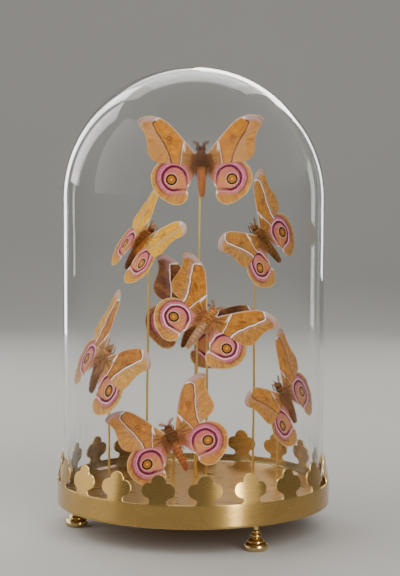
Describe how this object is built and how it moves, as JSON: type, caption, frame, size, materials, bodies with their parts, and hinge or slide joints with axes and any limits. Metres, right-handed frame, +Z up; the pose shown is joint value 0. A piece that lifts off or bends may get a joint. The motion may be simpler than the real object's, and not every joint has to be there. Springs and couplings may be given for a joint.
{
  "type": "insect display dome",
  "caption": "Large moths with spread eyespot wings on thin brass rods, under a clear glass dome on a round footed brass base with a gallery rim.",
  "frame": {"origin": "on the floor under the middle of the dome", "axes": "+Z up along the dome's axis, -Y to the front, +X to the right seen from the front"},
  "size_m": [0.26, 0.26, 0.4387],
  "materials": {
    "clear_glass": "clear blown glass",
    "brass": "brushed, with bright sawn edges",
    "rod_brass": "drawn, pale",
    "moth_scales": "matt wing scales and short hair, ochre with lilac and maroon eyespots"
  },
  "bodies": {
    "root": {"glass_dome": "clear_glass", "gallery_band": "brass", "base_plate": "brass", "foot_front": "brass", "foot_left": "brass", "foot_back": "brass", "rod_top": "rod_brass", "rod_upper_left": "rod_brass", "rod_upper_right": "rod_brass", "rod_centre": "rod_brass", "rod_behind": "rod_brass", "rod_left": "rod_brass", "rod_right": "rod_brass", "rod_front": "rod_brass", "moth_top": "moth_scales", "moth_upper_left": "moth_scales", "moth_upper_right": "moth_scales", "moth_centre": "moth_scales", "moth_behind": "moth_scales", "moth_left": "moth_scales", "moth_right": "moth_scales", "moth_front": "moth_scales"}
  },
  "joints": []
}
